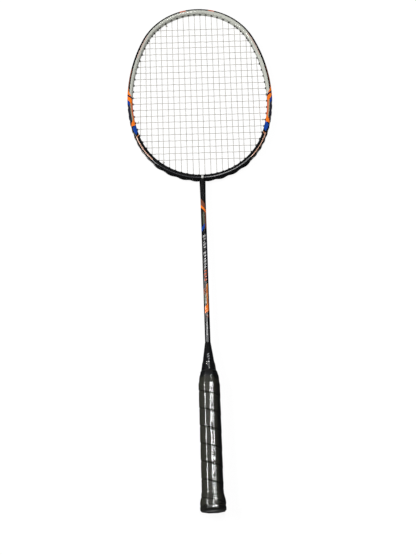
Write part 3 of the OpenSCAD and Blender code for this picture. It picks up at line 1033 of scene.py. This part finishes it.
@dataclass(frozen=True)
class Handle:
    """The wound grip, its tape, its clear film and the butt cap; sizes in millimetres."""

    grip_w: float = 25.4
    butt_w: float = 31.2
    rim: float = 6.0
    flare: float = 24.0
    shoulder: float = 148.0
    top: float = 170.0
    tape_l: float = 8.0
    film_top: float = 182.0
    film_low: float = 2.0
    cone_low: float = 8.94
    cone_top: float = 3.65
    cone_end: float = 207.0
    pitch: float = 21.5
    seam_at: float = 119.6
    overlap: float = 0.38
    crown: float = 0.34
    inset: float = 0.4
    butt_inset: float = 0.5
    # The groove beside each seam of the wrap
    groove: float = 0.42
    groove_w: float = 0.95
    film_gap: float = 0.16
    # How far the chamfers and the slanted flats lie out, against the main flats, and how sharp
    # the edges between them are
    chamfer: float = 1.071
    diagonal: float = 1.03
    crisp: float = 240.0
    wall: float = 0.7
    tape_wall: float = 0.15
    cap_foot: float = 2.4
    cap_edge: float = 0.5

    def profile(self, y: float) -> float:
        """Half width of the wrap across its flats."""
        g = self.grip_w / 2
        end = self.butt_w / 2 - self.butt_inset
        flare = [(self.rim, end), (10.8, end), (14, 14.6), (19, 13.4), (self.flare, g)]
        taper = [(self.shoulder, g), (155, 12.24), (162.7, 11.07), (self.top, 9.84)]
        return read_off(flare + taper, y)

    def cone(self, y: float) -> float:
        """Radius of the cone."""
        share = (self.cone_end - y) / (self.cone_end - self.top)
        return self.cone_top + (self.cone_low - self.cone_top) * share

    def eight(self, angle: float, y: float) -> float:
        """How far out the outline lies, against its main flats.

        Args:
            angle: The direction from the axis.
            y: The height, because the corners soften on the shoulder.

        Returns:
            A factor on the main flats' distance, for four wide flats, four narrower ones and
            eight small chamfers.
        """
        total = 0.0
        for k in range(16):
            away = (angle - k * math.pi / 8 + math.pi) % (2 * math.pi) - math.pi
            if abs(away) < 0.9:
                reach = self.chamfer if k % 2 else (1.0 if k % 4 == 0 else self.diagonal)
                total += math.exp(-self.crisp * reach / math.cos(away))
        out = -math.log(total) / self.crisp
        return 1 + (out - 1) * (1 - 0.25 * eased((y - self.shoulder - 8) / 14))

    def turn_of(self, angle: float, y: float) -> float:
        """Where in a turn of the wrap a point lies: 0 just under a seam and 1 just over the next."""
        seam = self.seam_at + self.pitch * (angle - math.pi / 2) / (2 * math.pi)
        return ((seam - y) / self.pitch) % 1.0

    def relief(self, angle: float, y: float) -> float:
        """How far the wound band stands up: it rises to its lower edge, which lies over the turn below."""
        t = self.turn_of(angle, y)
        edge = (1 - t) * self.pitch
        band = self.overlap * (0.25 + 0.75 * t) * eased(edge / 0.9)
        groove = self.groove * math.exp(-((min(edge, t * self.pitch) / self.groove_w) ** 2))
        return band - groove

    def wrap_r(self, angle: float, y: float) -> float:
        """The wound wrap's radius."""
        crowned = self.crown * 0.5 * (1 + math.cos(8 * angle)) * eased((self.shoulder + 14 - y) / 10)
        inset = self.inset * eased((self.shoulder + 5 - y) / 5)
        here = Vector((math.cos(angle) * 1.6, y / 11, math.sin(angle) * 1.6))
        fade = eased((self.top - y) / 8) * eased((y - self.rim) / 4)
        wound = (self.relief(angle, y) + 0.1 * noise.noise(here)) * fade
        return (self.profile(y) - inset) * self.eight(angle, y) + crowned + wound

    def tape_r(self, angle: float, y: float) -> float:
        """The finishing tape's radius: two turns with a step between them."""
        step = 0.22 * eased((self.top - 3.6 + 0.8 * math.sin(angle) - y) / 0.5)
        wrap = self.wrap_r(angle, min(y, self.top)) + 0.2 + step
        cone = self.cone(y) + 0.3
        return cone + max(0.0, wrap - cone) * eased((self.top + 1.6 - y) / 2.4)

    def film_at_rim(self, angle: float, y: float) -> float:
        """The film's radius where it goes over the cap's rim and dips into the joint above it."""
        off_flat = (math.degrees(angle) + 22.5) % 45 - 22.5
        bulge = 0.22 * (1 - ((y - 3.7) / 2.4) ** 2) - 0.5 * eased((y - 5.2) / 0.8)
        crowned = 0.3 * (1 - (off_flat / 22.5) ** 2)
        over = (self.butt_w / 2 - 0.62) * self.eight(angle, y) + crowned + 0.1 + bulge
        return min(over, self.wrap_r(angle, y) + 0.1) if y > self.rim else over

    def film_r(self, angle: float, y: float) -> float:
        """The film's radius: taut and smooth along the grip, and creased at the flare and the shoulder."""
        if y < self.rim + 0.8:
            return self.film_at_rim(angle, y)
        if y > self.top - self.tape_l - 1:
            under = max(self.tape_r(angle, y), self.cone(y) + 0.1)
        else:
            under = self.wrap_r(angle, y)
        low = eased((70 - y) / 40)
        high = eased((y - 140) / 12)
        here = Vector((math.cos(angle) * 1.3, y / 1.7, math.sin(angle) * 1.3))
        rings = noise.noise(here) * (0.05 + 0.2 * low * eased((y - 13) / 5) + 0.12 * high)
        broad = noise.noise(Vector((math.cos(angle) * 2.0, y / 6.0, math.sin(angle) * 2.0))) * 0.08
        return under + self.film_gap + max(-0.1, rings + broad)

    def sleeve(self, cells: tuple[int, int], ends: Point, shape: Callable[[float, float], float]) -> Mesh:
        """A sleeve rolled up from a flat grid.

        Args:
            cells: Grid cells round the handle and along it.
            ends: Its lower and upper ends.
            shape: Its radius for an angle and a height.

        Returns:
            The rolled mesh.
        """
        bm = bmesh.new()
        low, high = ends
        bmesh.ops.create_grid(bm, x_segments=cells[0], y_segments=cells[1], size=0.5)
        for v in bm.verts:
            angle = (v.co.x + 0.5) * 2 * math.pi
            y = low + (v.co.y + 0.5) * (high - low)
            r = shape(angle, y)
            v.co = Vector((r * math.cos(angle), y, r * math.sin(angle))) * MM
        bmesh.ops.remove_doubles(bm, verts=bm.verts, dist=0.003 * MM)
        bmesh.ops.recalc_face_normals(bm, faces=bm.faces)
        return bm

    def build_wrap(self, material: Material) -> None:
        """The wound grip."""
        bm = self.sleeve((128, 330), (self.rim + 0.1, self.top), self.wrap_r)
        bmesh.ops.solidify(bm, geom=bm.faces[:], thickness=self.wall * MM)
        seat(finished("Grip_wrap", bm, material=material), "grip_wrap", "base_grip")

    def build_tape(self, material: Material) -> None:
        """The thin tape that finishes the wrap's upper end."""
        bm = self.sleeve((96, 36), (self.top - self.tape_l, self.top + 1.4), self.tape_r)
        bmesh.ops.solidify(bm, geom=bm.faces[:], thickness=self.tape_wall * MM)
        seat(finished("Finishing_tape", bm, material=material), "tape", "finishing_tape")

    def build_film(self, material: Material) -> None:
        """The clear film, shrunk over the grip and the foot of the cone."""
        bm = self.sleeve((144, 440), (self.film_low, self.film_top), self.film_r)
        seat(finished("Grip_film", bm, material=material), "clear_film", "grip_film")

    def build_cap(self, material: Material) -> None:
        """The butt cap: an eight-sided block with rounded edges."""
        bm = bmesh.new()
        corner_r = (self.butt_w / 2 - 0.75) / math.cos(math.pi / 8) * MM
        bmesh.ops.create_circle(bm, cap_ends=True, segments=8, radius=corner_r)
        bmesh.ops.rotate(bm, verts=bm.verts, cent=(0, 0, 0), matrix=Matrix.Rotation(math.pi / 8, 3, "Z"))
        out = bmesh.ops.extrude_face_region(bm, geom=bm.faces[:])
        top = [g for g in out["geom"] if isinstance(g, bmesh.types.BMVert)]
        bmesh.ops.translate(bm, verts=top, vec=(0, 0, self.rim * MM))
        rounded = {"affect": "EDGES", "segments": 5, "profile": 0.5, "material": -1}
        middle = self.rim * MM / 2
        foot = [e for e in bm.edges if all(v.co.z < middle for v in e.verts)]
        bmesh.ops.bevel(bm, geom=foot, offset=self.cap_foot * MM, **rounded)
        head = [e for e in bm.edges if not any(v.co.z < middle for v in e.verts)]
        rises = [e for e in bm.edges if abs(e.verts[0].co.z - e.verts[1].co.z) > 2 * MM]
        head += [e for e in rises if 3 * MM < e.calc_length() < self.rim * MM]
        bmesh.ops.bevel(bm, geom=head, offset=self.cap_edge * MM, **rounded)
        bmesh.ops.rotate(bm, verts=bm.verts, cent=(0, 0, 0), matrix=Matrix.Rotation(-math.pi / 2, 3, "X"))
        bmesh.ops.recalc_face_normals(bm, faces=bm.faces)
        seat(finished("Butt_cap", bm, material=material), "cap_plastic", "butt_cap")

    def build(self, shop: Workshop) -> None:
        """Makes the handle's own pieces."""
        self.build_wrap(shop.wrap.make())
        self.build_tape(shop.tape.make())
        self.build_film(shop.film.make())
        self.build_cap(shop.cap.make())


@dataclass(frozen=True)
class CadDressing:
    """Finishes for the CAD nodes that stay as they are."""

    shop: Workshop

    def dress(self) -> None:
        """Gives each node its material."""
        nylon = self.shop.grommet.make()
        pieces = {
            "t_joint": self.shop.neck.make(),
            "shaft": self.shop.shaft.make(),
            "cone_cap": self.shop.cone.make(),
            "handle_core": self.shop.wood.make(),
            "butt_badge": self.shop.badge.make(),
            "butt_tacks": self.shop.steel.make(),
        }
        for name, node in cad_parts.items():
            material = nylon if name.startswith("grommets") else pieces.get(name)
            if material is None:
                continue
            node.data.materials.clear()
            node.data.materials.append(material)
            LOG.info("%s: %s", name, material.name)


# ---- the stage ----


@dataclass(frozen=True)
class Stage:
    """The table, the lamps and the camera; sizes in metres."""

    head_rest: Point = (0.672, -0.005)
    butt_rest: Point = (0.0105, -0.0156)
    look_at: Point = (0.0029, 0.2923)
    distance: float = 1.6485
    tilt: float = 19.6
    swing: float = -1.82
    lens: float = 85.5
    # The table and the backdrop end well inside the camera's reach
    spread: float = 20.0
    cut: float = -0.5
    # The room's own light, and the backlit table's
    room: float = 0.07
    glow: float = 0.95

    def table(self) -> None:
        """A pale table under the butt and the crown."""
        (ya, za), (yb, zb) = self.butt_rest, self.head_rest
        slope = math.atan2(zb - za, yb - ya)
        bm = bmesh.new()
        bmesh.ops.create_grid(bm, x_segments=1, y_segments=1, size=self.spread)
        bmesh.ops.rotate(bm, verts=bm.verts, cent=(0, 0, 0), matrix=Matrix.Rotation(slope, 3, "X"))
        bmesh.ops.translate(bm, verts=bm.verts, vec=(0, ya, za))
        pale = Finish("Pale_table", "#525252", 0.9).make()
        shader = next(n for n in pale.node_tree.nodes if n.type == "BSDF_PRINCIPLED")
        shader.inputs["Specular IOR Level"].default_value = 0.0
        # A faintly backlit white acrylic sheet, which keeps the contact shadows light
        shader.inputs["Emission Color"].default_value = linear("#ffffff")
        shader.inputs["Emission Strength"].default_value = self.glow
        table = finished("Table", bm, smooth=False, material=pale)
        table.visible_glossy = False
        bm = bmesh.new()
        bmesh.ops.create_uvsphere(bm, u_segments=32, v_segments=16, radius=self.spread * 0.95)
        every = bm.verts[:] + bm.edges[:] + bm.faces[:]
        bmesh.ops.bisect_plane(bm, geom=every, plane_co=(0, 0, self.cut), plane_no=(0, 0, 1), clear_inner=True)
        bmesh.ops.reverse_faces(bm, faces=bm.faces)
        backdrop = finished("Backdrop", bm, material=pale)
        backdrop.visible_glossy = backdrop.visible_diffuse = backdrop.visible_shadow = False

    def lamp(self, name: str, place: Place, size: Point, power: float, aim: Place = (0, 0.3, 0)) -> None:
        """One soft rectangular lamp.

        Args:
            name: Its name.
            place: Where it hangs.
            size: Its width and height.
            power: Its power in watts.
            aim: What it points at.
        """
        light = bpy.data.lights.new(name, "AREA")
        light.shape, light.size, light.size_y, light.energy = "RECTANGLE", *size, power
        lamp = bpy.data.objects.new(name, light)
        lamp.location = place
        lamp.rotation_euler = (Vector(aim) - Vector(place)).to_track_quat("-Z", "Y").to_euler()
        bpy.context.scene.collection.objects.link(lamp)

    def lights(self) -> None:
        """A dim room, a strip overhead a little to the right, and a tall lamp low on the left."""
        world = bpy.data.worlds.new("Room")
        world.use_nodes = True
        world.node_tree.nodes["Background"].inputs[0].default_value = linear("#f4f6ff")
        world.node_tree.nodes["Background"].inputs[1].default_value = self.room
        bpy.context.scene.world = world
        self.lamp("Overhead_strip", (0.24, 0.62, 1.75), (0.26, 0.8), 15, (0.1, 0.3, 0))
        self.lamp("Left_softbox", (-1.03, 0.44, 1.13), (0.85, 0.27), 17)
        bpy.context.scene.view_settings.view_transform = "Standard"

    def camera(self) -> None:
        """The camera over the handle, looking down at the racket."""
        turn = Matrix.Rotation(math.radians(self.swing), 3, "Z")
        tilt = math.radians(self.tilt)
        back = turn @ Vector((0, -math.sin(tilt), math.cos(tilt)))
        up = turn @ Vector((0, math.cos(tilt), math.sin(tilt)))
        lens = bpy.data.cameras.new("Camera")
        lens.lens, lens.sensor_width, lens.sensor_fit = self.lens, 36, "AUTO"
        eye = bpy.data.objects.new("Camera", lens)
        side = up.cross(back)
        place = Vector((*self.look_at, 0)) + back * self.distance
        eye.matrix_world = Matrix((side, up, back)).transposed().to_4x4()
        eye.location = place
        bpy.context.scene.collection.objects.link(eye)
        bpy.context.scene.camera = eye

    def build(self) -> None:
        """Sets the stage."""
        self.table()
        self.lights()
        self.camera()


def main() -> None:
    """Builds the racket's pieces in order."""
    logging.basicConfig(level=logging.INFO, format="%(message)s")
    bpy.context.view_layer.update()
    shop = Workshop()
    Stage().build()
    HeadTube().build(shop.head.make())
    StringBed().build(shop.string.make())
    Handle().build(shop)
    CadDressing(shop).dress()


if __name__ == "__main__":
    main()
